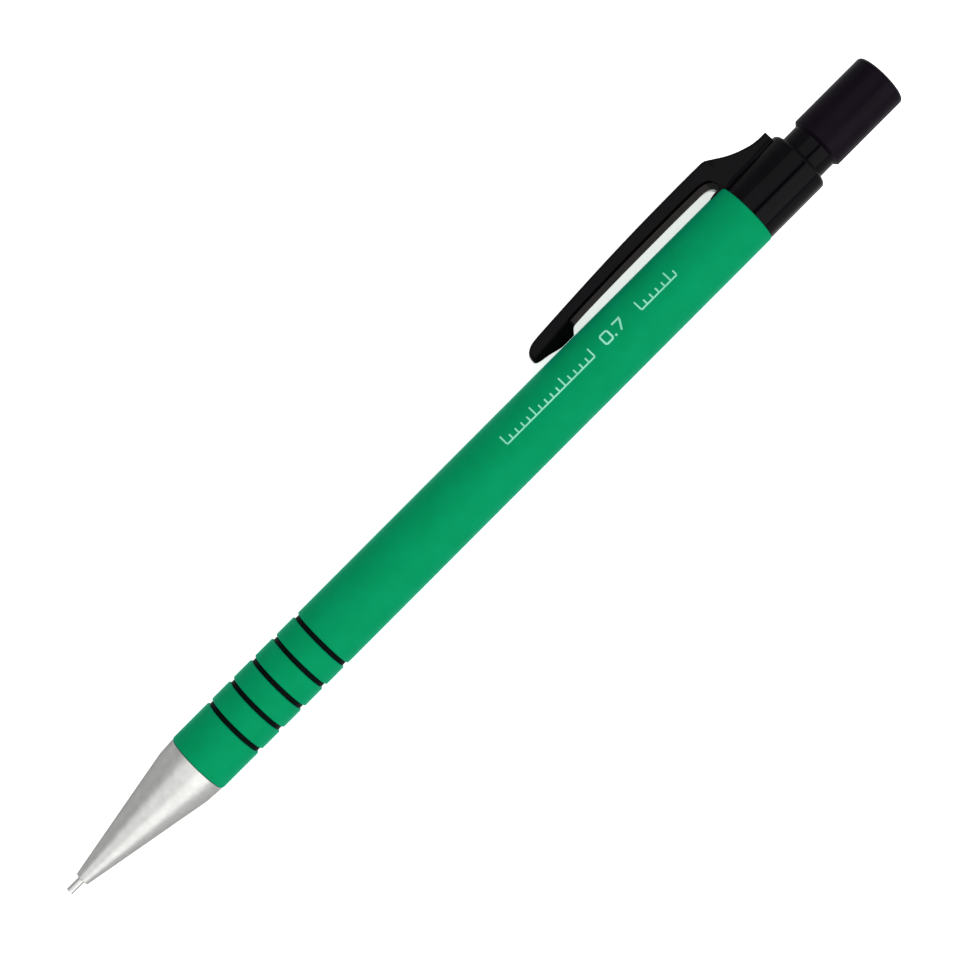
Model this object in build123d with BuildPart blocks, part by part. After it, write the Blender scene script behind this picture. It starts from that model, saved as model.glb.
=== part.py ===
from build123d import *

import os

# A 0.7 mm mechanical pencil lying on its barrel, in millimetres. Its axis is the X axis: the
# sleeve's open end is at the origin and the push cap points along +X. The clip is on the +Y side.
# Every x below is a distance from the sleeve's open end, and every radius is from the axis.

# Lead and sleeve
LEAD_R = 0.35
LEAD_LENGTH = 60.0
LEAD_FRONT = 6.1
SLEEVE_R = 0.50
SLEEVE_BORE_R = 0.375
SLEEVE_LENGTH = 6.0

# Tip cone
CONE_FRONT = 2.15
CONE_FRONT_R = 0.94
BAND_FRONT = 19.82
BAND_FRONT_R = 4.13
BAND_R = 4.28
RETAINER_R = 1.3
RETAINER_MOUTH_R = 0.65
RETAINER_END = 8.4
RING_STOP = 10.4
HEAD_ROOM_R = 1.55
RING_ROOM_R = 1.85
GUIDE_ROOM_R = 2.4
SPIGOT_R = 3.45

# Barrel
BARREL_R = 4.35
BARREL_BORE_R = 3.0
BARREL_FRONT = 22.20
BARREL_REAR = 117.46
SOCKET_R = 3.5
SOCKET_END = 30.0
EDGE = 0.35

# Grip rings, each in its own groove
RING_COUNT = 5
FIRST_RING = 28.74
RING_PITCH = 3.705
RING_WIDTH = 0.66
RING_R = 4.09
GROOVE_R = 3.82
GROOVE_EDGE = 0.2

# Chuck, its ring and its guide
CHUCK_BORE_R = 0.42
JAW_FRONT = 10.6
JAW_R = 1.32
JAW_TAPER_END = 13.6
STEM_R = 0.85
STEM_END = 32.4
SLIT_WIDTH = 0.2
SLIT_END = 21.0
CLOSING_RING_FRONT = 11.4
CLOSING_RING_END = 13.2
CLOSING_RING_R = 1.75
GUIDE_FRONT = 13.3
GUIDE_R = 2.3
SPRING_SEAT = 18.0
SPRING_ROOM_R = 1.75
FLANGE_FRONT = 28.0

# Return spring
SPRING_WIRE_R = 0.2
SPRING_MEAN_R = 1.35
SPRING_TURNS = 7
SPRING_END = 28.0

# Connector and lead tube
CONNECTOR_R = 1.6
TUBE_FRONT = 33.0
TUBE_BORE_R = 1.4
TUBE_R = 1.9
TUBE_END = 126.0
CONNECTOR_END = 37.0

# Clip and its collar
COLLAR_R = 4.27
COLLAR_END = 126.72
COLLAR_SPIGOT_FRONT = 111.0
COLLAR_BORE_R = 2.2
NECK_ROOM_FRONT = 119.5
NECK_ROOM_R = 3.32
CLIP_END = 125.9
CLIP_HALF_WIDTH = 1.6
KEY_FRONT = 115.4
KEY_HALF_WIDTH = 1.1
KEY_R = 4.55
NOTCH_FLOOR = 2.4

# Eraser holder, eraser and push cap
NECK_R = 3.24
NECK_FRONT = 121.5
CAP_FRONT = 129.2
CAP_BEVEL_END = 129.6
CAP_MOUTH_R = 3.3
CAP_R = 3.73
CAP_END = 140.8
CAP_EDGE = 0.55
CAP_BORE_R = 3.12
CAP_FLOOR = 139.1
CAP_SEAT_R = 3.1
CAP_SEAT_END = 134.0
ERASER_R = 2.45
ERASER_FRONT = 127.6
ERASER_END = 138.0
ERASER_ROOM_R = 2.5


def turned(*corners):
    """Revolve the closed outline of (x, radius) or (x, radius, rounding) corners."""
    with BuildSketch() as half:
        with BuildLine():
            points = [corner[:2] for corner in corners]
            roundings = [corner[2] if len(corner) == 3 else 0 for corner in corners]
            FilletPolyline(points, radius=roundings, close=True)
        make_face()
    revolve(half.sketch, axis=Axis.X)


def write(piece, name):
    """Label a finished piece and write its STEP file."""
    piece.label = name
    export_step(piece, f"parts/{name}.step")


os.makedirs("parts", exist_ok=True)

# The stick of lead: its front end is still inside the tip, just behind the sleeve.
with BuildPart() as lead:
    turned(
        (LEAD_FRONT, 0),
        (LEAD_FRONT, LEAD_R, 0.05),
        (LEAD_FRONT + LEAD_LENGTH, LEAD_R, 0.05),
        (LEAD_FRONT + LEAD_LENGTH, 0),
    )
write(lead.part, "lead")

# The steel sleeve that the lead comes out of, pressed into the tip cone.
with BuildPart() as lead_sleeve:
    turned(
        (0, SLEEVE_BORE_R),
        (0, SLEEVE_R, 0.06),
        (SLEEVE_LENGTH, SLEEVE_R),
        (SLEEVE_LENGTH, SLEEVE_BORE_R),
    )
write(lead_sleeve.part, "lead_sleeve")

# The soft bush behind the sleeve that stops the lead from falling back. Its bore narrows to a lip.
with BuildPart() as lead_retainer:
    turned(
        (SLEEVE_LENGTH, RETAINER_MOUTH_R),
        (SLEEVE_LENGTH, RETAINER_R),
        (RETAINER_END, RETAINER_R),
        (RETAINER_END, RETAINER_MOUTH_R),
        ((SLEEVE_LENGTH + RETAINER_END) / 2, LEAD_R + 0.02),
    )
write(lead_retainer.part, "lead_retainer")

# The metal tip: a cone, a nearly straight band and a spigot that screws into the barrel. Inside,
# its bore opens in steps for the retainer, the jaws, the closing ring and the chuck guide.
with BuildPart() as tip_cone:
    turned(
        (CONE_FRONT, SLEEVE_R),
        (CONE_FRONT, CONE_FRONT_R, 0.15),
        (BAND_FRONT, BAND_FRONT_R, 2.0),
        (BARREL_FRONT - 0.05, BAND_R, 0.12),
        (BARREL_FRONT - 0.05, SPIGOT_R),
        (FLANGE_FRONT - 0.05, SPIGOT_R, 0.25),
        (FLANGE_FRONT - 0.05, GUIDE_ROOM_R),
        (GUIDE_FRONT - 0.1, GUIDE_ROOM_R),
        (GUIDE_FRONT - 0.1, RING_ROOM_R),
        (RING_STOP, RING_ROOM_R),
        (RING_STOP, HEAD_ROOM_R),
        (RETAINER_END, HEAD_ROOM_R),
        (RETAINER_END, RETAINER_R),
        (SLEEVE_LENGTH, RETAINER_R),
        (SLEEVE_LENGTH, SLEEVE_R),
    )
write(tip_cone.part, "tip_cone")

# The brass chuck: three jaws on a slit stem. The jaws' outside tapers towards the rear.
with BuildPart() as chuck:
    turned(
        (JAW_FRONT, CHUCK_BORE_R),
        (JAW_FRONT, JAW_R, 0.2),
        (JAW_TAPER_END, STEM_R),
        (STEM_END, STEM_R),
        (STEM_END, CHUCK_BORE_R),
    )
    with BuildSketch(Plane.YZ.offset(JAW_FRONT)):
        with PolarLocations(0, 3):
            Rectangle(JAW_R, SLIT_WIDTH, align=(Align.MIN, Align.CENTER))
    extrude(amount=SLIT_END - JAW_FRONT, mode=Mode.SUBTRACT)
write(chuck.part, "chuck")

# The ring that closes the jaws: its bore follows their taper.
with BuildPart() as chuck_ring:
    slope = (JAW_R - STEM_R) / (JAW_TAPER_END - JAW_FRONT)
    turned(
        (CLOSING_RING_FRONT, JAW_R - slope * (CLOSING_RING_FRONT - JAW_FRONT) + 0.04),
        (CLOSING_RING_FRONT, CLOSING_RING_R, 0.15),
        (CLOSING_RING_END, CLOSING_RING_R, 0.15),
        (CLOSING_RING_END, JAW_R - slope * (CLOSING_RING_END - JAW_FRONT) + 0.04),
    )
write(chuck_ring.part, "chuck_ring")

# The guide for the chuck's stem: its front seats the closing ring, its pocket holds the return
# spring, and its flange sits at the bottom of the barrel's socket.
with BuildPart() as chuck_guide:
    turned(
        (GUIDE_FRONT, STEM_R + 0.06),
        (GUIDE_FRONT, GUIDE_R, 0.3),
        (FLANGE_FRONT, GUIDE_R),
        (FLANGE_FRONT, SOCKET_R),
        (SOCKET_END, SOCKET_R),
        (SOCKET_END, SPRING_ROOM_R),
        (SPRING_SEAT, SPRING_ROOM_R),
        (SPRING_SEAT, STEM_R + 0.06),
    )
write(chuck_guide.part, "chuck_guide")

# The return spring round the chuck's stem, between the guide's seat and the connector.
with BuildPart() as return_spring:
    spring_front = SPRING_SEAT + SPRING_WIRE_R + 0.02
    spring_length = SPRING_END - SPRING_SEAT - 2 * SPRING_WIRE_R - 0.04
    with BuildLine() as coil:
        Helix(
            spring_length / SPRING_TURNS,
            spring_length,
            SPRING_MEAN_R,
            center=(spring_front, 0, 0),
            direction=(1, 0, 0),
        )
    with BuildSketch(Plane(coil.line @ 0, z_dir=coil.line % 0)):
        Circle(SPRING_WIRE_R)
    sweep(path=coil.line, is_frenet=True)
write(return_spring.part, "return_spring")

# The connector: the chuck's stem is pressed into its front, and its rear is pressed into the lead
# tube. A funnel inside leads the next stick into the chuck.
with BuildPart() as chuck_connector:
    turned(
        (SPRING_END, STEM_R),
        (SPRING_END, CONNECTOR_R, 0.1),
        (TUBE_FRONT, CONNECTOR_R),
        (TUBE_FRONT, TUBE_BORE_R),
        (CONNECTOR_END, TUBE_BORE_R, 0.1),
        (CONNECTOR_END, TUBE_BORE_R - 0.2),
        (STEM_END + 1.0, CHUCK_BORE_R + 0.03),
        (STEM_END, CHUCK_BORE_R + 0.03),
        (STEM_END, STEM_R),
    )
write(chuck_connector.part, "chuck_connector")

# The tube that stores spare leads and carries the push from the cap to the chuck.
with BuildPart() as lead_tube:
    turned(
        (TUBE_FRONT, TUBE_BORE_R),
        (TUBE_FRONT, TUBE_R),
        (TUBE_END, TUBE_R),
        (TUBE_END, TUBE_BORE_R),
    )
write(lead_tube.part, "lead_tube")

# The barrel: a socket for the tip in front, a plain bore behind it, a groove for each grip ring
# and a notch at the rear for the collar's key.
ring_places = [FIRST_RING + number * RING_PITCH for number in range(RING_COUNT)]
with BuildPart() as barrel:
    turned(
        (BARREL_FRONT, SOCKET_R),
        (BARREL_FRONT, BARREL_R, EDGE),
        (BARREL_REAR, BARREL_R, EDGE),
        (BARREL_REAR, BARREL_BORE_R),
        (SOCKET_END, BARREL_BORE_R),
        (SOCKET_END, SOCKET_R),
    )
    with BuildSketch() as groove_sections:
        for place in ring_places:
            with Locations((place, GROOVE_R)):
                Rectangle(RING_WIDTH, BARREL_R, align=(Align.CENTER, Align.MIN))
    revolve(axis=Axis.X, mode=Mode.SUBTRACT)
    groove_mouths = [
        edge
        for edge in barrel.edges().filter_by(GeomType.CIRCLE)
        if abs(edge.radius - BARREL_R) < 0.01
        and min(abs(abs(edge.arc_center.X - place) - RING_WIDTH / 2) for place in ring_places) < 0.01
    ]
    fillet(groove_mouths, GROOVE_EDGE)
    with BuildSketch(Plane.YZ.offset(KEY_FRONT)):
        with Locations((NOTCH_FLOOR, 0)):
            Rectangle(BARREL_R, 2 * KEY_HALF_WIDTH, align=(Align.MIN, Align.CENTER))
    extrude(amount=BARREL_REAR - KEY_FRONT, mode=Mode.SUBTRACT)
write(barrel.part, "barrel")

# The grip rings, a little below the barrel's surface.
for number, place in enumerate(ring_places, start=1):
    with BuildPart() as grip_ring:
        turned(
            (place - RING_WIDTH / 2, GROOVE_R),
            (place - RING_WIDTH / 2, RING_R, 0.08),
            (place + RING_WIDTH / 2, RING_R, 0.08),
            (place + RING_WIDTH / 2, GROOVE_R),
        )
    write(grip_ring.part, f"grip_ring_{number}")

# The collar and the clip are one moulding. The collar's spigot is pressed into the barrel, and its
# key fills the barrel's notch. The clip's foot rests on the barrel.
with BuildPart() as clip_collar:
    with BuildSketch(Plane.XY.offset(-CLIP_HALF_WIDTH)):
        with BuildLine():
            Polyline((CLIP_END, 3.6), (CLIP_END, 5.41), (125.1, 5.41))
            Spline(
                (125.1, 5.41),
                (123.6, 5.6),
                (122.0, 6.06),
                (120.4, 6.78),
                (118.4, 8.04),
                tangents=((-1, 0.01), (-1, 0.72)),
            )
            ThreePointArc((118.4, 8.04), (118.1, 8.2), (117.6, 8.29))
            Spline(
                (117.6, 8.29),
                (114.0, 8.31),
                (107.8, 8.24),
                (101.9, 8.1),
                (95.9, 7.85),
                (88.2, 7.43),
                tangents=((-1, 0.02), (-1, -0.1)),
            )
            ThreePointArc((88.2, 7.43), (86.65, 6.95), (86.0, 5.95))
            Polyline((86.0, 5.95), (86.0, 5.55), (86.35, 5.22), (90.2, 4.37), (91.8, 4.37))
            Polyline((91.8, 4.37), (92.4, 5.0))
            ThreePointArc((92.4, 5.0), (92.6, 5.16), (92.95, 5.22))
            Spline(
                (92.95, 5.22),
                (97.8, 5.38),
                (103.0, 5.45),
                (109.8, 5.48),
                (115.1, 5.42),
                tangents=((1, 0.04), (1, -0.04)),
            )
            ThreePointArc((115.1, 5.42), (116.3, 5.1), (116.7, 4.37))
            Polyline((116.7, 4.37), (BARREL_REAR, 4.37), (BARREL_REAR, 3.6), (CLIP_END, 3.6))
        make_face()
    extrude(amount=2 * CLIP_HALF_WIDTH)
    turned(
        (COLLAR_SPIGOT_FRONT, COLLAR_BORE_R),
        (COLLAR_SPIGOT_FRONT, BARREL_BORE_R, 0.2),
        (BARREL_REAR, BARREL_BORE_R),
        (BARREL_REAR, COLLAR_R),
        (COLLAR_END, COLLAR_R, 0.6),
        (COLLAR_END, NECK_ROOM_R),
        (NECK_ROOM_FRONT, NECK_ROOM_R),
        (NECK_ROOM_FRONT, COLLAR_BORE_R),
    )
    with BuildSketch(Plane.YZ.offset(KEY_FRONT)):
        Circle(KEY_R)
        with Locations((NOTCH_FLOOR, 0)):
            Rectangle(KEY_R, 2 * KEY_HALF_WIDTH, align=(Align.MIN, Align.CENTER), mode=Mode.INTERSECT)
    extrude(amount=BARREL_REAR - KEY_FRONT)
write(clip_collar.part, "clip_collar")

# The eraser holder: its neck slides in the collar, and the push cap fits on its rear.
with BuildPart() as eraser_holder:
    turned(
        (NECK_FRONT, TUBE_R),
        (NECK_FRONT, NECK_R, 0.2),
        (CAP_FRONT, NECK_R),
        (CAP_FRONT, CAP_SEAT_R),
        (CAP_SEAT_END, CAP_SEAT_R, 0.2),
        (CAP_SEAT_END, ERASER_ROOM_R),
        (ERASER_FRONT - 0.1, ERASER_ROOM_R),
        (ERASER_FRONT - 0.1, TUBE_BORE_R),
        (TUBE_END, TUBE_BORE_R),
        (TUBE_END, TUBE_R),
    )
write(eraser_holder.part, "eraser_holder")

# The eraser under the cap also closes the lead store.
with BuildPart() as eraser:
    turned(
        (ERASER_FRONT, 0),
        (ERASER_FRONT, ERASER_R, 0.2),
        (ERASER_END, ERASER_R, 0.4),
        (ERASER_END, 0),
    )
write(eraser.part, "eraser")

# The push cap, with a bevelled mouth.
with BuildPart() as push_cap:
    turned(
        (CAP_FRONT, CAP_BORE_R),
        (CAP_FRONT, CAP_MOUTH_R),
        (CAP_BEVEL_END, CAP_R, 0.1),
        (CAP_END, CAP_R, CAP_EDGE),
        (CAP_END, 0),
        (CAP_FLOOR, 0),
        (CAP_FLOOR, CAP_BORE_R, 0.3),
    )
write(push_cap.part, "push_cap")
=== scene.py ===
"""Looks of a 0.7 mm mechanical pencil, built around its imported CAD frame.

The pencil's axis is the X axis: the sleeve's open end is at the origin and the push cap points
along +X. The clip is on the +Y side, and +Z is up. Shapes are written in millimetres, as
distances along the axis and radii from it, and are scaled to metres when a mesh is made.
"""

import math

import bmesh
import bpy
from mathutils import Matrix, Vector


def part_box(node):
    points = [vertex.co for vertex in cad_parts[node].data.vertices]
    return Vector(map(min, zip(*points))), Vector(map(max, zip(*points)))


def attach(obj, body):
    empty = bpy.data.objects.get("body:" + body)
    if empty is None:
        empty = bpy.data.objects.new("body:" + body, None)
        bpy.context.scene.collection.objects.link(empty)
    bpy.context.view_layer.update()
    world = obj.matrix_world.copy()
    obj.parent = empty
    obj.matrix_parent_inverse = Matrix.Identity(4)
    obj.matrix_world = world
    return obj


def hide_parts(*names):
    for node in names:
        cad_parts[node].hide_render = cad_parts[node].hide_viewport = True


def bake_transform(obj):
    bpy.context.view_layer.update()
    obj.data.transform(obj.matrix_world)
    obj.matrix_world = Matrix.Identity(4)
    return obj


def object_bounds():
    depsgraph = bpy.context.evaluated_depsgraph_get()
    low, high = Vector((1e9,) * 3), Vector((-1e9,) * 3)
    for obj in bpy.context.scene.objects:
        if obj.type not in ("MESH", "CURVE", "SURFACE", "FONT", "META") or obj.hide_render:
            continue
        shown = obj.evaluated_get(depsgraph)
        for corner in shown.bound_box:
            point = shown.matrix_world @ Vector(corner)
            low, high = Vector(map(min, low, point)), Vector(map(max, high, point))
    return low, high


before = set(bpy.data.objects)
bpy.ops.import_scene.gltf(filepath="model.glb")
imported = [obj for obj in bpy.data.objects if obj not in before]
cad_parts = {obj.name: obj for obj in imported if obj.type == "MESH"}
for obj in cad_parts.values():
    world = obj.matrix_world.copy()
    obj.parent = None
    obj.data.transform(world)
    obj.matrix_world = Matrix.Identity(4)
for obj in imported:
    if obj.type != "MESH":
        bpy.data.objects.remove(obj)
CAD_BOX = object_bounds()

MM = 0.001
AROUND = 192
ARC_STEPS = 6
SHARP_ANGLE = math.radians(35)
JOINT_GAP = 0.02


# --- Sizes, read from the frame where it has them -------------------------------------------


def along(node):
    """Where a CAD node starts and ends along the axis, in millimetres."""
    low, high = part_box(node)
    return low.x / MM, high.x / MM


def radius(node):
    """The outer radius of a turned CAD node, in millimetres."""
    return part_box(node)[1].z / MM


SLEEVE_FRONT, SLEEVE_END = along("lead_sleeve")
SLEEVE_R = radius("lead_sleeve")
SLEEVE_BORE_R = 0.375
CONE_FRONT, SPIGOT_END = along("tip_cone")
BAND_R = radius("tip_cone")
RETAINER_FRONT, RETAINER_END = along("lead_retainer")
RETAINER_R = radius("lead_retainer")
LEAD_FRONT, LEAD_END = along("lead")
LEAD_R = radius("lead")
GUIDE_FRONT, SOCKET_END = along("chuck_guide")
BARREL_FRONT, BARREL_END = along("barrel")
BARREL_R = radius("barrel")
RING_R = radius("grip_ring_1")
RING_SPANS = [along(f"grip_ring_{number}") for number in range(1, 6)]
SPRING_FRONT, SPRING_END = along("return_spring")
SPRING_R = radius("return_spring")
NECK_FRONT, SEAT_END = along("eraser_holder")
CAP_FRONT, CAP_END = along("push_cap")
CAP_R = radius("push_cap")
ERASER_FRONT, ERASER_END = along("eraser")
ERASER_R = radius("eraser")
CLIP_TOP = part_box("clip_collar")[1].y / MM


# --- Mesh tools -----------------------------------------------------------------------------


def rounded(corners):
    """Points of a closed outline whose (x, y, rounding) corners are rounded by arcs."""
    points = []
    for i, corner in enumerate(corners):
        here = Vector(corner[:2])
        if len(corner) == 2:
            points.append(here)
            continue
        before = (Vector(corners[i - 1][:2]) - here).normalized()
        after = (Vector(corners[(i + 1) % len(corners)][:2]) - here).normalized()
        half = before.angle(after) / 2
        centre = here + (before + after).normalized() * corner[2] / math.sin(half)
        reach = corner[2] / math.tan(half)
        first = here + before * reach - centre
        last = here + after * reach - centre
        turn = math.pi - 2 * half
        for step in range(ARC_STEPS + 1):
            t = step / ARC_STEPS * turn
            mixed = first * math.sin(turn - t) + last * math.sin(t)
            points.append(centre + mixed / math.sin(turn))
    return points


def piece(name, bm):
    """Make an object from a bmesh: smooth faces, sharp edges where it turns hard."""
    bmesh.ops.recalc_face_normals(bm, faces=bm.faces)
    mesh = bpy.data.meshes.new(name)
    bm.to_mesh(mesh)
    bm.free()
    mesh.shade_smooth()
    mesh.set_sharp_from_angle(angle=SHARP_ANGLE)
    obj = bpy.data.objects.new(name, mesh)
    bpy.context.scene.collection.objects.link(obj)
    normals = obj.modifiers.new("even normals", "WEIGHTED_NORMAL")
    normals.keep_sharp = True
    normals.weight = 100
    return obj


def turned(name, corners, relief=None):
    """A closed solid of revolution about the axis. relief(x, r, angle) may change each radius."""
    bm = bmesh.new()
    rows = []
    for x, r in rounded(corners):
        if r < 1e-6:
            rows.append([bm.verts.new((x * MM, 0, 0))])
            continue
        row = []
        for k in range(AROUND):
            angle = 2 * math.pi * k / AROUND
            out = relief(x, r, angle) if relief else r
            row.append(bm.verts.new((x * MM, out * math.cos(angle) * MM, out * math.sin(angle) * MM)))
        rows.append(row)
    for a, b in zip(rows, rows[1:] + rows[:1]):
        if len(a) == len(b) == 1:
            continue
        for k in range(AROUND):
            n = (k + 1) % AROUND
            if len(a) == 1:
                bm.faces.new((a[0], b[n], b[k]))
            elif len(b) == 1:
                bm.faces.new((a[k], a[n], b[0]))
            else:
                bm.faces.new((a[k], a[n], b[n], b[k]))
    return piece(name, bm)


def loft(name, sections):
    """A closed solid through sections, each a list of as many points, with its ends filled."""
    bm = bmesh.new()
    rows = [[bm.verts.new(Vector(p) * MM) for p in section] for section in sections]
    count = len(rows[0])
    for a, b in zip(rows, rows[1:]):
        for k in range(count):
            n = (k + 1) % count
            bm.faces.new((a[k], a[n], b[n], b[k]))
    bm.faces.new(rows[0])
    bm.faces.new(rows[-1])
    return piece(name, bm)


def combined(obj, other, operation):
    """The boolean of two objects, which are both used up."""
    name = obj.name
    obj.modifiers.clear()
    other.modifiers.clear()
    step = obj.modifiers.new("boolean", "BOOLEAN")
    step.object = other
    step.operation = operation
    step.solver = "EXACT"
    bm = bmesh.new()
    bm.from_object(obj, bpy.context.evaluated_depsgraph_get())
    bpy.data.objects.remove(obj)
    bpy.data.objects.remove(other)
    bmesh.ops.remove_doubles(bm, verts=bm.verts, dist=1e-7)
    bmesh.ops.dissolve_degenerate(bm, edges=bm.edges, dist=1e-7)
    return piece(name, bm)


def smooth_through(points):
    """A function that runs smoothly through (x, y) points without overshooting them."""
    xs = [p[0] for p in points]
    ys = [p[1] for p in points]
    gaps = [(ys[i + 1] - ys[i]) / (xs[i + 1] - xs[i]) for i in range(len(xs) - 1)]
    slopes = [gaps[0]]
    for a, b in zip(gaps, gaps[1:]):
        slopes.append(2 * a * b / (a + b) if a * b > 0 else 0)
    slopes.append(gaps[-1])

    def at(x):
        x = min(max(x, xs[0]), xs[-1])
        i = max(k for k in range(len(xs) - 1) if xs[k] <= x)
        h = xs[i + 1] - xs[i]
        t = (x - xs[i]) / h
        return (
            (1 + 2 * t) * (1 - t) ** 2 * ys[i]
            + t * (1 - t) ** 2 * h * slopes[i]
            + t * t * (3 - 2 * t) * ys[i + 1]
            - t * t * (1 - t) * h * slopes[i + 1]
        )

    return at


def eased(x, start, end):
    """0 before start, 1 after end, and smooth between them."""
    t = min(max((x - start) / (end - start), 0), 1)
    return t * t * (3 - 2 * t)


# --- Material tools -------------------------------------------------------------------------


class Finish:
    """A Principled material built from procedural nodes, in object coordinates in metres."""

    def __init__(self, name, **values):
        self.material = bpy.data.materials.new(name)
        self.material.use_nodes = True
        self.nodes = self.material.node_tree.nodes
        self.links = self.material.node_tree.links
        self.shader = self.nodes["Principled BSDF"]
        coordinates = self.nodes.new("ShaderNodeTexCoord")
        self.place = coordinates.outputs["Object"]
        self.facing = coordinates.outputs["Normal"]
        for key, value in values.items():
            self.shader.inputs[key.replace("_", " ")].default_value = value

    def noise(self, size_mm, stretch=(1, 1, 1), detail=3):
        """Noise whose grains are about size_mm across, times stretch along each axis."""
        mapping = self.nodes.new("ShaderNodeMapping")
        mapping.inputs["Scale"].default_value = [1 / (size_mm * MM * s) for s in stretch]
        self.links.new(self.place, mapping.inputs["Vector"])
        noise = self.nodes.new("ShaderNodeTexNoise")
        noise.inputs["Scale"].default_value = 1
        noise.inputs["Detail"].default_value = detail
        self.links.new(mapping.outputs["Vector"], noise.inputs["Vector"])
        return noise.outputs["Fac"]

    def between(self, factor, low, high, start=0.3, end=0.7):
        """A value that goes from low to high as the factor goes from start to end."""
        node = self.nodes.new("ShaderNodeMapRange")
        self.links.new(factor, node.inputs["Value"])
        node.inputs["From Min"].default_value = start
        node.inputs["From Max"].default_value = end
        node.inputs["To Min"].default_value = low
        node.inputs["To Max"].default_value = high
        return node.outputs["Result"]

    def tint(self, factor, one, other):
        """A colour between two colours."""
        node = self.nodes.new("ShaderNodeMix")
        node.data_type = "RGBA"
        self.links.new(self.between(factor, 0, 1), node.inputs["Factor"])
        colours = [s for s in node.inputs if s.type == "RGBA"]
        colours[0].default_value = (*one, 1)
        colours[1].default_value = (*other, 1)
        return next(s for s in node.outputs if s.type == "RGBA")

    def parts(self, vector):
        """The x, y and z of a vector."""
        node = self.nodes.new("ShaderNodeSeparateXYZ")
        self.links.new(vector, node.inputs[0])
        return list(node.outputs)

    def times(self, one, other):
        """One value times another."""
        node = self.nodes.new("ShaderNodeMath")
        node.operation = "MULTIPLY"
        self.links.new(one, node.inputs[0])
        self.links.new(other, node.inputs[1])
        return node.outputs[0]

    def blend_to(self, factor, colour, other):
        """A colour socket that turns into another colour as the factor goes from 0 to 1."""
        node = self.nodes.new("ShaderNodeMix")
        node.data_type = "RGBA"
        self.links.new(factor, node.inputs["Factor"])
        colours = [s for s in node.inputs if s.type == "RGBA"]
        self.links.new(colour, colours[0])
        colours[1].default_value = (*other, 1)
        return next(s for s in node.outputs if s.type == "RGBA")

    def relief(self, height, depth_mm, under=None):
        """A bump of a height in millimetres, on top of another bump."""
        node = self.nodes.new("ShaderNodeBump")
        node.inputs["Strength"].default_value = 1
        node.inputs["Distance"].default_value = depth_mm * MM
        self.links.new(height, node.inputs["Height"])
        if under:
            self.links.new(under, node.inputs["Normal"])
        return node.outputs["Normal"]

    def set(self, **sockets):
        """Link sockets to the shader's inputs, and give the finished material."""
        for key, socket in sockets.items():
            self.links.new(socket, self.shader.inputs[key.replace("_", " ")])
        return self.material


def moulded(name, dark, light, rough, grain_mm, grain_depth, specular, sheen=(0, 0, 0)):
    """Moulded plastic or rubber: faint mottling, uneven gloss and a fine grain."""
    finish = Finish(name, Specular_IOR_Level=specular, Sheen_Weight=max(sheen), Sheen_Roughness=0.4)
    finish.shader.inputs["Sheen Tint"].default_value = (*sheen, 1)
    mottle = finish.noise(2.5)
    cloud = finish.noise(7, detail=2)
    grain = finish.noise(grain_mm, detail=2)
    return finish.set(
        Base_Color=finish.tint(mottle, dark, light),
        Roughness=finish.between(cloud, rough - 0.05, rough + 0.05),
        Normal=finish.relief(grain, grain_depth),
    )


def metal(
    name, dark, light, rough, line_mm, line_depth, stretch, frost_mm=0.06, frost_depth=0.0008, cloud_mm=4
):
    """Metal with fine machining lines, which run as stretch says, and a frosted micro surface."""
    finish = Finish(name, Metallic=1.0)
    lines = finish.noise(line_mm, stretch, detail=2)
    frost = finish.noise(frost_mm, detail=2)
    cloud = finish.noise(cloud_mm, detail=3)
    return finish.set(
        Base_Color=finish.tint(cloud, dark, light),
        Roughness=finish.between(frost, rough - 0.04, rough + 0.05),
        Normal=finish.relief(frost, frost_depth, finish.relief(lines, line_depth)),
    )


# How far the fine lines run along each axis: round the piece, along it, or neither way.
ROUND = (1, 400, 400)
LENGTHWISE = (400, 1, 1)
EVEN = (1, 1, 1)

GREEN = moulded(
    "soft green", (0.0003, 0.234, 0.084), (0.0006, 0.252, 0.098),
    rough=0.5, grain_mm=0.09, grain_depth=0.0016, specular=0.02, sheen=(0, 0.56, 0.46),
)
SATIN_BLACK = moulded(
    "satin black", (0.0033, 0.0012, 0.0044), (0.0042, 0.0018, 0.0056),
    rough=0.36, grain_mm=0.12, grain_depth=0.0020, specular=0.055,
)
RUBBER = moulded(
    "ring rubber", (0.0004, 0.0018, 0.0011), (0.0008, 0.0030, 0.0019),
    rough=0.62, grain_mm=0.08, grain_depth=0.0020, specular=0.04,
)
SOFT_RUBBER = moulded(
    "retainer rubber", (0.012, 0.012, 0.012), (0.020, 0.020, 0.020),
    rough=0.6, grain_mm=0.08, grain_depth=0.002, specular=0.3,
)
WHITE_PLASTIC = moulded(
    "natural white", (0.60, 0.59, 0.56), (0.68, 0.67, 0.64),
    rough=0.42, grain_mm=0.10, grain_depth=0.0015, specular=0.4,
)
VINYL = moulded(
    "eraser vinyl", (0.74, 0.735, 0.72), (0.80, 0.795, 0.78),
    rough=0.62, grain_mm=0.07, grain_depth=0.003, specular=0.35,
)
INK = moulded(
    "pale ink", (0.19, 0.60, 0.43), (0.30, 0.72, 0.56),
    rough=0.5, grain_mm=0.05, grain_depth=0.0015, specular=0.1,
)
SATIN_TIP = metal(
    "satin nickel", (0.50, 0.50, 0.487), (0.57, 0.57, 0.556),
    rough=0.38, line_mm=0.05, line_depth=0.0006, stretch=ROUND,
    frost_mm=0.05, frost_depth=0.0014, cloud_mm=0.9,
)
STEEL = metal(
    "drawn steel", (0.52, 0.52, 0.51), (0.58, 0.58, 0.57),
    rough=0.26, line_mm=0.03, line_depth=0.0004, stretch=LENGTHWISE,
)
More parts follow.
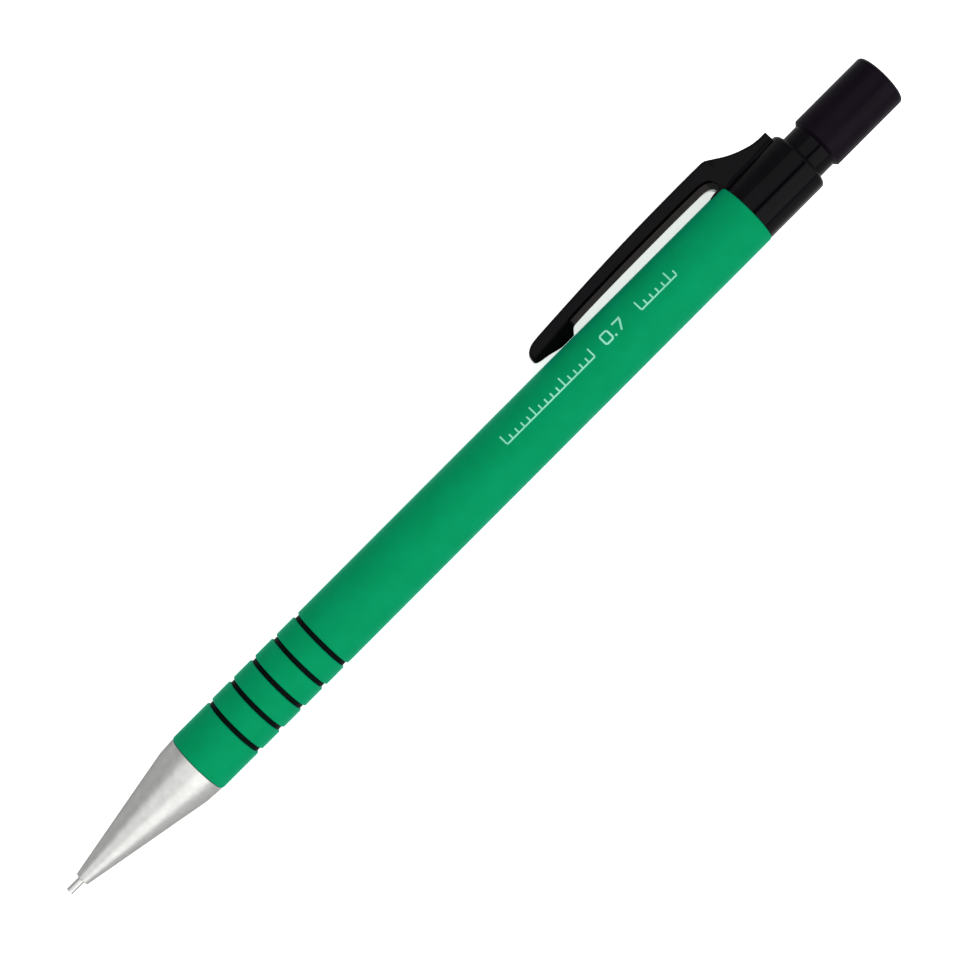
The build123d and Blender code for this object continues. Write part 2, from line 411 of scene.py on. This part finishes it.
BRASS = metal(
    "turned brass", (0.62, 0.44, 0.17), (0.70, 0.52, 0.22),
    rough=0.24, line_mm=0.05, line_depth=0.0007, stretch=ROUND,
)
WIRE = metal(
    "spring wire", (0.30, 0.30, 0.31), (0.38, 0.38, 0.39),
    rough=0.3, line_mm=0.04, line_depth=0.0004, stretch=EVEN,
)


def graphite():
    """Polymer lead: dark, with a slight graphite sheen along its length."""
    finish = Finish("graphite", Metallic=0.35)
    streaks = finish.noise(0.05, (30, 1, 1))
    return finish.set(
        Base_Color=finish.tint(streaks, (0.028, 0.028, 0.030), (0.050, 0.050, 0.053)),
        Roughness=finish.between(streaks, 0.36, 0.5),
        Normal=finish.relief(streaks, 0.0008),
    )


# The clip's bevel gets a painted highlight: how far the surface faces -Y, and where it starts, as (none,
# full) values.
PAINTED_HIGHLIGHT_MOST_DOWN = (-0.5, -0.47)
PAINTED_HIGHLIGHT_LEAST_DOWN = (-0.33, -0.36)
PAINTED_HIGHLIGHT_FROM_X = (92.6 * MM, 92.9 * MM)
PAINTED_HIGHLIGHT_FROM_Y = (4.3 * MM, 4.4 * MM)


def black_moulding():
    """Glossy black moulding, with a painted highlight: paler on the bevel along the clip's inner edge.
    """
    finish = Finish("black moulding", Specular_IOR_Level=0.07)
    mottle = finish.noise(2.5)
    facing = finish.parts(finish.facing)[1]
    bevel = finish.times(
        finish.between(facing, 0, 1, *PAINTED_HIGHLIGHT_MOST_DOWN),
        finish.between(facing, 0, 1, *PAINTED_HIGHLIGHT_LEAST_DOWN),
    )
    x, y = finish.parts(finish.place)[:2]
    on_clip = finish.times(
        finish.between(y, 0, 1, *PAINTED_HIGHLIGHT_FROM_Y),
        finish.between(x, 0, 1, *PAINTED_HIGHLIGHT_FROM_X),
    )
    # Painted highlight: a paler colour where the clip's bevel faces -Y, standing in for light reflected
    # there.
    painted_highlight = finish.times(finish.times(bevel, on_clip), finish.between(mottle, 0.7, 1))
    body = finish.tint(mottle, (0.0013, 0.0009, 0.0015), (0.0019, 0.0014, 0.0022))
    return finish.set(
        Base_Color=finish.blend_to(painted_highlight, body, (0.017, 0.0155, 0.0135)),
        Roughness=finish.between(finish.noise(7, detail=2), 0.12, 0.18),
        Normal=finish.relief(finish.noise(0.3, detail=2), 0.0006),
    )


def milky():
    """Extruded tube: milky, with draw lines along its length."""
    finish = Finish("milky tube", Transmission_Weight=0.35, IOR=1.5)
    lines = finish.noise(0.12, (200, 1, 1))
    return finish.set(
        Base_Color=finish.tint(lines, (0.70, 0.73, 0.73), (0.80, 0.83, 0.83)),
        Roughness=finish.between(lines, 0.3, 0.4),
        Normal=finish.relief(lines, 0.0015),
    )


LEAD = graphite()
BLACK = black_moulding()
MILKY = milky()


def place(obj, body, slot, material, *replaced):
    """Hand a piece its material and its body, and hide what it stands for. The slot is not used."""
    obj.data.materials.clear()
    obj.data.materials.append(material)
    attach(obj, body)
    if replaced:
        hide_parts(*replaced)


# --- Tip ------------------------------------------------------------------------------------

BAND_FRONT = 19.82
BAND_FRONT_R = 4.13
CONE_FRONT_R = 0.94
SPIGOT_R = 3.45
THREAD_START = BARREL_FRONT + 0.55
THREAD_END = SPIGOT_END - 0.35
THREAD_PITCH = 0.75
THREAD_DEPTH = 0.3
THREAD_STEP = 0.05
THREAD_FADE = 0.4
THREAD_FLANK = (0.25, 0.95)
RING_ROOM_R = 1.85
HEAD_ROOM_R = 1.55
GUIDE_ROOM_R = 2.4
RING_STOP = 10.4


def thread(x, r, angle):
    """Cut a helical groove into the spigot, fading out at both of its ends."""
    if r < SPIGOT_R - 0.01 or not THREAD_START < x < THREAD_END:
        return r
    wave = abs((x / THREAD_PITCH - angle / (2 * math.pi)) % 1 * 2 - 1)
    fade_in = eased(x, THREAD_START, THREAD_START + THREAD_FADE)
    fade_out = 1 - eased(x, THREAD_END - THREAD_FADE, THREAD_END)
    return r - THREAD_DEPTH * (fade_in * fade_out) * eased(wave, *THREAD_FLANK)


thread_rows = round((THREAD_END - THREAD_START) / THREAD_STEP)
tip_shell = turned(
    "tip_shell",
    [
        (CONE_FRONT, SLEEVE_R),
        (CONE_FRONT, CONE_FRONT_R, 0.15),
        (BAND_FRONT, BAND_FRONT_R, 2.0),
        (BARREL_FRONT - JOINT_GAP, BAND_R, 0.06),
        (BARREL_FRONT - JOINT_GAP, SPIGOT_R),
    ]
    + [(THREAD_START + row * THREAD_STEP, SPIGOT_R) for row in range(thread_rows + 1)]
    + [
        (SPIGOT_END, SPIGOT_R, 0.25),
        (SPIGOT_END, GUIDE_ROOM_R),
        (GUIDE_FRONT - 0.1, GUIDE_ROOM_R),
        (GUIDE_FRONT - 0.1, RING_ROOM_R),
        (RING_STOP, RING_ROOM_R),
        (RING_STOP, HEAD_ROOM_R),
        (RETAINER_END, HEAD_ROOM_R),
        (RETAINER_END, RETAINER_R),
        (RETAINER_FRONT, RETAINER_R),
        (RETAINER_FRONT, SLEEVE_R),
    ],
    thread,
)
place(tip_shell, "tip_body", "tip_metal", SATIN_TIP, "tip_cone")

sleeve_tube = turned(
    "sleeve_tube",
    [
        (SLEEVE_FRONT, SLEEVE_BORE_R, 0.03),
        (SLEEVE_FRONT, SLEEVE_R, 0.06),
        (SLEEVE_END, SLEEVE_R),
        (SLEEVE_END, SLEEVE_BORE_R),
    ],
)
place(sleeve_tube, "tip_body", "sleeve_steel", STEEL, "lead_sleeve")

lead_stick = turned(
    "lead_stick",
    [
        (LEAD_FRONT, 0),
        (LEAD_FRONT, LEAD_R, 0.05),
        (LEAD_END, LEAD_R, 0.05),
        (LEAD_END, 0),
    ],
)
place(lead_stick, "lead_body", "graphite", LEAD, "lead")


# --- Barrel and its grip rings --------------------------------------------------------------

BARREL_EDGE = 0.3
BARREL_BORE_R = 3.0
SOCKET_R = 3.5
GROOVE_R = 3.82
GROOVE_EDGE = 0.2
RING_EDGE = 0.14
NOTCH_FRONT = 115.4
NOTCH_HALF_WIDTH = 1.1
NOTCH_FLOOR = 2.4

grooves = []
for groove_front, groove_end in RING_SPANS:
    grooves += [
        (groove_front, BARREL_R, GROOVE_EDGE),
        (groove_front, GROOVE_R),
        (groove_end, GROOVE_R),
        (groove_end, BARREL_R, GROOVE_EDGE),
    ]


def block(name, low, high):
    """A plain block between two corners, in millimetres."""
    (x0, y0, z0), (x1, y1, z1) = low, high
    return loft(name, [[(x, y0, z0), (x, y1, z0), (x, y1, z1), (x, y0, z1)] for x in (x0, x1)])


barrel_shell = turned(
    "barrel_shell",
    [(BARREL_FRONT, SOCKET_R), (BARREL_FRONT, BARREL_R, BARREL_EDGE)]
    + grooves
    + [
        (BARREL_END, BARREL_R, BARREL_EDGE),
        (BARREL_END, BARREL_BORE_R),
        (SOCKET_END, BARREL_BORE_R),
        (SOCKET_END, SOCKET_R),
    ],
)
notch = block(
    "notch",
    (NOTCH_FRONT, NOTCH_FLOOR, -NOTCH_HALF_WIDTH),
    (BARREL_END + 1, BARREL_R + 1, NOTCH_HALF_WIDTH),
)
barrel_shell = combined(barrel_shell, notch, "DIFFERENCE")
place(barrel_shell, "barrel_body", "barrel_green", GREEN, "barrel")

for number, (ring_front, ring_end) in enumerate(RING_SPANS, start=1):
    ring = turned(
        f"rubber_ring_{number}",
        [
            (ring_front, GROOVE_R),
            (ring_front, RING_R, RING_EDGE),
            (ring_end, RING_R, RING_EDGE),
            (ring_end, GROOVE_R),
        ],
    )
    place(ring, "barrel_body", "ring_rubber", RUBBER, f"grip_ring_{number}")


# --- Print on the barrel: a plain scale and the lead size -------------------------------------

PRINT_UP = 0.012
PRINT_DOWN = 0.006
PRINT_ANGLE = math.asin(1.42 / BARREL_R)
PRINT_STEP = 0.12
PRINT_FRONT = 76.6
PRINT_END = 105.6
LONG_SCALE = 15
SHORT_SCALE = 6
SCALE_STROKE = 0.2
LONG_MARK = 1.4
SHORT_MARK = 0.75
MARK_FOOT = 0.1
SIZE_MARK = 93.5
STROKE = 0.25
GLYPH_HEIGHT = 1.65
GLYPH_WIDTH = 1.45
ZERO_CORNER = 0.28
DOT = 0.28
DOT_SPACE = 0.35
SEVEN_SPACE = 0.45
HALF_TALL = (GLYPH_HEIGHT - STROKE) / 2
HALF_ACROSS = (GLYPH_WIDTH - STROKE) / 2


def resampled(path):
    """The same path with points no further apart than PRINT_STEP."""
    points = [Vector(path[0])]
    for a, b in zip(path, path[1:]):
        a, b = Vector(a), Vector(b)
        count = max(1, math.ceil((b - a).length / PRINT_STEP))
        points += [a.lerp(b, k / count) for k in range(1, count + 1)]
    return points


def on_barrel(u, v, height):
    """The point at u along the axis and v round the barrel from the print's middle line."""
    angle = PRINT_ANGLE + v / BARREL_R
    r = BARREL_R + height
    return Vector((u, r * math.sin(angle), r * math.cos(angle))) * MM


def stroke(bm, path, width=STROKE, closed=False):
    """One printed stroke: a thin ribbon along a path, wrapped on the barrel."""
    points = resampled(path)
    if closed:
        points.pop()
    count = len(points)
    rows = []
    for i, p in enumerate(points):
        before = points[i - 1] if i or closed else p - (points[1] - p)
        after = points[(i + 1) % count] if i < count - 1 or closed else p + (p - points[i - 1])
        one = (p - before).normalized()
        two = (after - p).normalized()
        side = (one + two).normalized().orthogonal()
        reach = width / 2 / max(side.dot(one.orthogonal()), 0.5)
        corners = [(p + side * reach, PRINT_UP), (p - side * reach, PRINT_UP)]
        corners += [(p - side * reach, -PRINT_DOWN), (p + side * reach, -PRINT_DOWN)]
        rows.append([bm.verts.new(on_barrel(q.x, q.y, h)) for q, h in corners])
    for i in range(count if closed else count - 1):
        a, b = rows[i], rows[(i + 1) % count]
        for k in range(4):
            n = (k + 1) % 4
            bm.faces.new((a[k], a[n], b[n], b[k]))
    if not closed:
        bm.faces.new(rows[0])
        bm.faces.new(rows[-1])


def scale_marks(bm, start, end):
    """A base line with a mark at each millimetre, longer at every fifth."""
    base = -GLYPH_HEIGHT / 2 + STROKE / 2
    stroke(bm, [(start, base), (end, base)], SCALE_STROKE)
    for number in range(round(end - start) + 1):
        height = LONG_MARK if number % 5 == 0 else SHORT_MARK
        u = start + number
        stroke(bm, [(u, base + MARK_FOOT), (u, base + height)], SCALE_STROKE)


def lead_size(bm, start):
    """The lead's size, 0.7, as a rounded nought, a point and a seven."""
    middle = start + GLYPH_WIDTH / 2
    corners = [
        (middle + sx * HALF_ACROSS, sy * HALF_TALL, ZERO_CORNER)
        for sx, sy in ((-1, -1), (1, -1), (1, 1), (-1, 1))
    ]
    outline = rounded(corners)
    stroke(bm, outline + outline[:1], closed=True)
    point = start + GLYPH_WIDTH + DOT_SPACE
    stroke(bm, [(point, -HALF_TALL - 0.1), (point, -HALF_TALL + 0.18)], DOT)
    left = point + SEVEN_SPACE
    right = left + 2 * HALF_ACROSS
    stroke(
        bm,
        [
            (left, HALF_TALL),
            (right, HALF_TALL),
            (right - 0.05, HALF_TALL - 0.25),
            (left + 0.45, -HALF_TALL),
        ],
    )


bm = bmesh.new()
scale_marks(bm, PRINT_FRONT, PRINT_FRONT + LONG_SCALE)
scale_marks(bm, PRINT_END - SHORT_SCALE, PRINT_END)
lead_size(bm, SIZE_MARK)
barrel_print = piece("barrel_print", bm)
place(barrel_print, "barrel_body", "guide_plastic", INK)


# --- Clip and collar ------------------------------------------------------------------------

COLLAR_R = 4.27
COLLAR_END = 126.72
COLLAR_EDGE = 0.6
SPIGOT_FRONT = 111.0
COLLAR_BORE_R = 2.2
NECK_ROOM_FRONT = 119.5
NECK_ROOM_R = 3.32
KEY_TOP = 4.55
CLIP_FRONT = 86.0
CLIP_END = 125.9
HALF_WIDTH = 1.6
NOSE_TURN = 1.1
NOSE_INSET = 0.8
SHOULDER = (117.6, 119.2)
SHOULDER_INSET = 0.3
TAIL = (122.3, 124.8)
TAIL_INSET = 0.4
ROOT_END = BARREL_END - 0.1
LINE_WIDTH = 0.3
LINE_DEPTH = 0.2
LEDGE = 0.05
BEVEL = 0.34
EDGE = 0.3
CROWN = 0.05
FOOT_END = 92.45
FOOT_FADE = 0.4
FOOT_LEDGE = 0.06
FOOT_TILT = 0.84
LEAST_FOOT = 0.15
FILLET = 0.9
FILLET_RISE = 0.6
FILLET_STEPS = 3
SLIVER = 0.01

clip_outer = smooth_through(
    [
        (CLIP_FRONT, 5.9),
        (86.08, 6.3),
        (86.3, 6.68),
        (86.8, 7.08),
        (87.4, 7.31),
        (88.2, 7.43),
        (90.0, 7.55),
        (95.9, 7.86),
        (101.9, 8.11),
        (107.8, 8.26),
        (114.0, CLIP_TOP),
        (117.5, 8.3),
        (118.0, 8.23),
        (118.35, 8.06),
        (119.2, 7.53),
        (120.4, 6.78),
        (121.5, 6.26),
        (122.6, 5.86),
        (123.9, 5.53),
        (125.1, 5.42),
        (CLIP_END, 5.42),
    ]
)
clip_inner = smooth_through(
    [
        (CLIP_FRONT, 5.5),
        (86.25, 5.26),
        (88.0, 4.88),
        (90.1, 4.39),
        (91.8, 4.38),
        (92.1, 4.68),
        (92.4, 5.03),
        (92.65, 5.16),
        (93.1, 5.23),
        (97.8, 5.38),
        (103.0, 5.45),
        (109.8, 5.48),
        (115.1, 5.42),
        (115.9, 5.27),
        (116.45, 4.92),
        (116.7, 4.42),
        (BARREL_END, 4.37),
        (BARREL_END + 0.02, 3.7),
        (CLIP_END, 3.7),
    ]
)
clip_line = smooth_through(
    [
        (CLIP_FRONT, 5.72),
        (86.4, 5.84),
        (88.0, 5.94),
        (90.0, 6.06),
        (92.6, 6.27),
        (96.0, 6.43),
        (103.0, 6.57),
        (111.0, 6.61),
        (115.2, 6.54),
        (116.2, 6.33),
        (116.8, 5.95),
        (117.1, 5.5),
        (ROOT_END, 4.5),
        (CLIP_END, 3.8),
    ]
)


def fillet_flank(x, half, inner):
    """The lower flank over the collar, with a fillet where it meets the collar."""
    r = SLIVER + FILLET * eased(x, BARREL_END, BARREL_END + FILLET_RISE)
    z = half + r
    y = math.sqrt((COLLAR_R + r - SLIVER) ** 2 - z ** 2)
    full = math.atan2(y, z)
    turns = [full * (1 - i / FILLET_STEPS) for i in range(FILLET_STEPS + 1)]
    return [(half, inner)] + [(z - r * math.cos(turn), y - r * math.sin(turn)) for turn in turns]


def clip_half_width(x):
    """Half of the clip's width at x: rounded at the nose, and slimmer over the collar."""
    nose = min((x - CLIP_FRONT) / NOSE_TURN, 1)
    half = HALF_WIDTH - NOSE_INSET * (1 - math.sqrt(1 - (1 - nose) ** 2))
    half -= SHOULDER_INSET * eased(x, *SHOULDER) + TAIL_INSET * eased(x, *TAIL)
    return half


def lined_flank(x, half, inner, line, outer):
    """A flank with a fine line along it, bevelled below the line, and set in further at the foot."""
    foot = 1 - eased(x, FOOT_END, FOOT_END + FOOT_FADE)
    cut = 1 - eased(x, ROOT_END - 0.1, ROOT_END + 0.1)
    room = min(1, (line - inner) / LINE_WIDTH) * cut
    ledge = (LEDGE + (FOOT_LEDGE - LEDGE) * foot) * room
    slope = (BEVEL + (FOOT_TILT * (line - inner) - BEVEL) * foot) * room
    groove = LINE_DEPTH * (1 - foot) * room
    bevel_end = max(line - LINE_WIDTH * (1 - 0.75 * foot), inner + 0.6 * (line - inner))
    low = max(half - ledge - slope, LEAST_FOOT)
    saddle = inner - math.sqrt(inner ** 2 - low ** 2) if x < FOOT_END else 0
    return [
        (low, inner - saddle),
        (half - ledge, bevel_end),
        (half - ledge - groove, bevel_end + 0.5 * (line - bevel_end)),
        (half - 0.07 * room, line),
        (half, line + 0.24 * min(LINE_WIDTH, outer - line)),
    ]


def clip_section(x):
    """The clip's section at x, with a crowned outer face and rounded outer edges."""
    outer = clip_outer(x)
    inner = clip_inner(x)
    line = min(max(clip_line(x), inner + 0.02), outer - 0.05)
    half = clip_half_width(x)
    if x > BARREL_END + 0.02:
        flank = fillet_flank(x, half, inner)
    else:
        flank = lined_flank(x, half, inner, line, outer)
    edge = min(EDGE, 0.3 * (outer - line))
    for i in range(5):
        turn = i / 4 * math.pi / 2
        flank.append((half - edge + edge * math.cos(turn), outer - edge + edge * math.sin(turn)))
    crown = CROWN * min(1, outer - inner)
    flank = [(z, y - crown * (z / half) ** 2 if y > outer - edge else y) for z, y in flank]
    middle = [(half * 0.4, outer - crown * 0.16), (0, outer), (-half * 0.4, outer - crown * 0.16)]
    mirrored = [(-z, y) for z, y in reversed(flank)]
    return [(x, y, z) for z, y in flank + middle + mirrored + [(0, inner)]]


def clip_stations():
    """Places along the clip, close together where its outline turns."""
    stations = []
    x = CLIP_FRONT
    while x < CLIP_END - 0.1:
        stations.append(x)
        if x < CLIP_FRONT + 0.4 or 116.0 < x < BARREL_END + 0.1:
            x += 0.04
        elif 94.0 < x < 115.0:
            x += 0.5
        else:
            x += 0.1
    return stations + [CLIP_END - 0.08, CLIP_END - 0.02, CLIP_END]


def key_section(x, top):
    """The key's section at x, just inside the barrel's notch."""
    half = NOTCH_HALF_WIDTH - SLIVER
    return [(x, NOTCH_FLOOR, -half), (x, top, -half), (x, top, half), (x, NOTCH_FLOOR, half)]


clip = loft("clip_bar", [clip_section(x) for x in clip_stations()])
collar = turned(
    "clip_and_collar",
    [
        (SPIGOT_FRONT, COLLAR_BORE_R),
        (SPIGOT_FRONT, BARREL_BORE_R, 0.2),
        (BARREL_END, BARREL_BORE_R),
        (BARREL_END, COLLAR_R, 0.06),
        (COLLAR_END, COLLAR_R, COLLAR_EDGE),
        (COLLAR_END, NECK_ROOM_R, 0.05),
        (NECK_ROOM_FRONT, NECK_ROOM_R),
        (NECK_ROOM_FRONT, COLLAR_BORE_R),
    ],
)
key_tops = ((NOTCH_FRONT + SLIVER, 4.37), (NOTCH_FRONT + 0.6, 4.5), (BARREL_END + 0.5, KEY_TOP))
key = loft("key", [key_section(x, top) for x, top in key_tops])
collar = combined(collar, clip, "UNION")
collar = combined(collar, key, "UNION")
place(collar, "barrel_body", "black_gloss", BLACK, "clip_collar")


# --- Eraser holder, eraser and push cap -----------------------------------------------------

NECK_R = 3.24
CAP_MOUTH_R = 3.3
CAP_BEVEL_END = 129.6
SEAT_R = 3.1
ERASER_ROOM_R = 2.5
TUBE_R = radius("lead_tube")
TUBE_BORE_R = 1.4
TUBE_END = along("lead_tube")[1]
CAP_BORE_R = 3.12
CAP_FLOOR = 139.1
CAP_CROWN = 0.06
CAP_EDGE = 0.52

holder = turned(
    "holder_neck",
    [
        (NECK_FRONT, TUBE_R),
        (NECK_FRONT, NECK_R, 0.2),
        (CAP_FRONT - JOINT_GAP, NECK_R),
        (CAP_FRONT - JOINT_GAP, SEAT_R),
        (SEAT_END, SEAT_R, 0.2),
        (SEAT_END, ERASER_ROOM_R, 0.1),
        (ERASER_FRONT - 0.1, ERASER_ROOM_R),
        (ERASER_FRONT - 0.1, TUBE_BORE_R),
        (TUBE_END, TUBE_BORE_R),
        (TUBE_END, TUBE_R),
    ],
)
place(holder, "pusher_body", "black_gloss", BLACK, "eraser_holder")

rubber = turned(
    "eraser_plug",
    [
        (ERASER_FRONT, 0),
        (ERASER_FRONT, ERASER_R, 0.2),
        (ERASER_END, ERASER_R, 0.4),
        (ERASER_END, 0),
    ],
)
place(rubber, "eraser_body", "eraser_white", VINYL, "eraser")

cap = turned(
    "cap_shell",
    [
        (CAP_FRONT + 0.01, CAP_BORE_R),
        (CAP_FRONT + 0.01, CAP_MOUTH_R, 0.03),
        (CAP_BEVEL_END, CAP_R, 0.15),
        (CAP_END - CAP_CROWN, CAP_R, CAP_EDGE),
        (CAP_END, 1.5, 4.0),
        (CAP_END, 0),
        (CAP_FLOOR, 0),
        (CAP_FLOOR, CAP_BORE_R, 0.3),
    ],
)
place(cap, "cap_body", "black_satin", SATIN_BLACK, "push_cap")


# --- Return spring --------------------------------------------------------------------------

WIRE_R = 0.2
WIRE_SIDES = 14
SPRING_TURNS = 8.5
CLOSED_TURNS = 1.0
CLOSED_PITCH = 2.04 * WIRE_R
STEPS_PER_TURN = 40


def spring_line(t):
    """The wire's centre after t turns: closed coils at both ends and open ones between."""
    open_turns = SPRING_TURNS - 2 * CLOSED_TURNS
    length = SPRING_END - SPRING_FRONT - 2 * WIRE_R - 2 * CLOSED_TURNS * CLOSED_PITCH
    opened = min(max(t - CLOSED_TURNS, 0), open_turns)
    closed = min(t, CLOSED_TURNS) + max(t - SPRING_TURNS + CLOSED_TURNS, 0)
    x = SPRING_FRONT + WIRE_R + closed * CLOSED_PITCH + opened / open_turns * length
    angle = 2 * math.pi * t
    r = SPRING_R - WIRE_R
    return Vector((x, r * math.cos(angle), r * math.sin(angle)))


def wire_section(t):
    """The wire's round section after t turns, square to its run."""
    centre = spring_line(t)
    outward = Vector((0, centre.y, centre.z)).normalized()
    ahead = (spring_line(t + 0.01) - spring_line(t - 0.01)).normalized()
    across = ahead.cross(outward).normalized()
    turns = [2 * math.pi * k / WIRE_SIDES for k in range(WIRE_SIDES)]
    return [centre + (outward * math.cos(a) + across * math.sin(a)) * WIRE_R for a in turns]


steps = round(SPRING_TURNS * STEPS_PER_TURN)
spring = loft("spring_coil", [wire_section(step / STEPS_PER_TURN) for step in range(steps + 1)])
spring.modifiers.clear()
spring.data.materials.append(WIRE)
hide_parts("return_spring")
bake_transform(spring)


# --- CAD nodes that stay, with their finished materials ---------------------------------------

for node, material in {
    "lead_retainer": SOFT_RUBBER,
    "chuck": BRASS,
    "chuck_ring": BRASS,
    "chuck_guide": WHITE_PLASTIC,
    "chuck_connector": WHITE_PLASTIC,
    "lead_tube": MILKY,
}.items():
    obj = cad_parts[node]
    obj.data.materials.clear()
    obj.data.materials.append(material)


# --- Floor, light and camera ----------------------------------------------------------------

LENGTH = CAP_END * MM
FLOOR_Z = CAD_BOX[0][2]
FLOOR_GLOW = 0.6
CARD_ENDS = (-0.1, 0.24)
VIEW_DISTANCE = 0.350
VIEW_WIDTH = 0.1176
VIEW_CENTRE = (0.0712, 0.00004)
VIEW_TURN = math.radians(45.05)
SENSOR = 36.0

table = Finish("light table", Roughness=0.9, Specular_IOR_Level=0.1, Emission_Strength=FLOOR_GLOW)
table.shader.inputs["Emission Color"].default_value = (1, 1, 1, 1)
table.set(Base_Color=table.tint(table.noise(9, detail=2), (0.84, 0.84, 0.84), (0.86, 0.86, 0.86)))
bm = bmesh.new()
bmesh.ops.create_grid(bm, x_segments=8, y_segments=8, size=1.5)
floor = piece("floor", bm)
floor.location = (LENGTH / 2, 0, FLOOR_Z)
floor.data.materials.append(table.material)


def softbox(name, tilt, distance, width, depth, radiance):
    """A soft light over the pencil, tilted about its axis from overhead towards -Y."""
    lamp = bpy.data.lights.new(name, "AREA")
    lamp.shape = "RECTANGLE"
    lamp.size = width
    lamp.size_y = depth
    lamp.energy = radiance * math.pi * width * depth
    obj = bpy.data.objects.new(name, lamp)
    turn = math.radians(tilt)
    obj.location = (LENGTH / 2, -distance * math.sin(turn), distance * math.cos(turn))
    obj.rotation_euler = (turn, 0, 0)
    bpy.context.scene.collection.objects.link(obj)


def card(name, near, far, ends, shade):
    """A matt card between two edges, near and far, each a (y, z). Only bounced light shows it."""
    bm = bmesh.new()
    corners = [(ends[0], *near), (ends[0], *far), (ends[1], *far), (ends[1], *near)]
    bm.faces.new([bm.verts.new(corner) for corner in corners])
    obj = piece(name, bm)
    obj.visible_camera = False
    obj.visible_shadow = False
    felt = Finish(name, Base_Color=(shade, shade, shade, 1), Roughness=1.0, Specular_IOR_Level=0.0)
    obj.data.materials.append(felt.material)


def near_cards(end, ends, shade):
    """A low card on each side of one end of the pencil, which darkens its edges."""
    for side in (1, -1):
        near = (side * 0.0015, FLOOR_Z + 0.0004)
        far = (side * 0.0095, FLOOR_Z + 0.0004)
        card(f"{end} card {side}", near, far, ends, shade)


softbox("key", tilt=47, distance=0.60, width=1.3, depth=0.66, radiance=1.42)
softbox("top", tilt=-15, distance=0.60, width=1.3, depth=0.58, radiance=0.86)
card("black flag", (-0.095, 0.233), (-0.042, 0.248), (0.115, 0.26), shade=0.002)
card("grey card left", (0.009, FLOOR_Z + 0.0002), (0.06, 0.001), CARD_ENDS, shade=0.55)
card("grey card right", (-0.008, FLOOR_Z + 0.0002), (-0.06, 0.000), CARD_ENDS, shade=0.6)
near_cards("tip", (-0.004, BARREL_FRONT * MM), shade=0.5)
near_cards("cap", (BARREL_END * MM, LENGTH + 0.003), shade=0.75)

scene = bpy.context.scene
world = bpy.data.worlds.new("studio")
world.use_nodes = True
world.node_tree.nodes["Background"].inputs["Color"].default_value = (1, 1, 1, 1)
world.node_tree.nodes["Background"].inputs["Strength"].default_value = 0.57
scene.world = world
scene.view_settings.view_transform = "Standard"

camera = bpy.data.cameras.new("camera")
camera.sensor_width = SENSOR
camera.lens = SENSOR * VIEW_DISTANCE / VIEW_WIDTH
camera.clip_start = 0.01
camera_obj = bpy.data.objects.new("camera", camera)
camera_obj.location = (*VIEW_CENTRE, VIEW_DISTANCE)
camera_obj.rotation_euler = (0, 0, -VIEW_TURN)
scene.collection.objects.link(camera_obj)
scene.camera = camera_obj
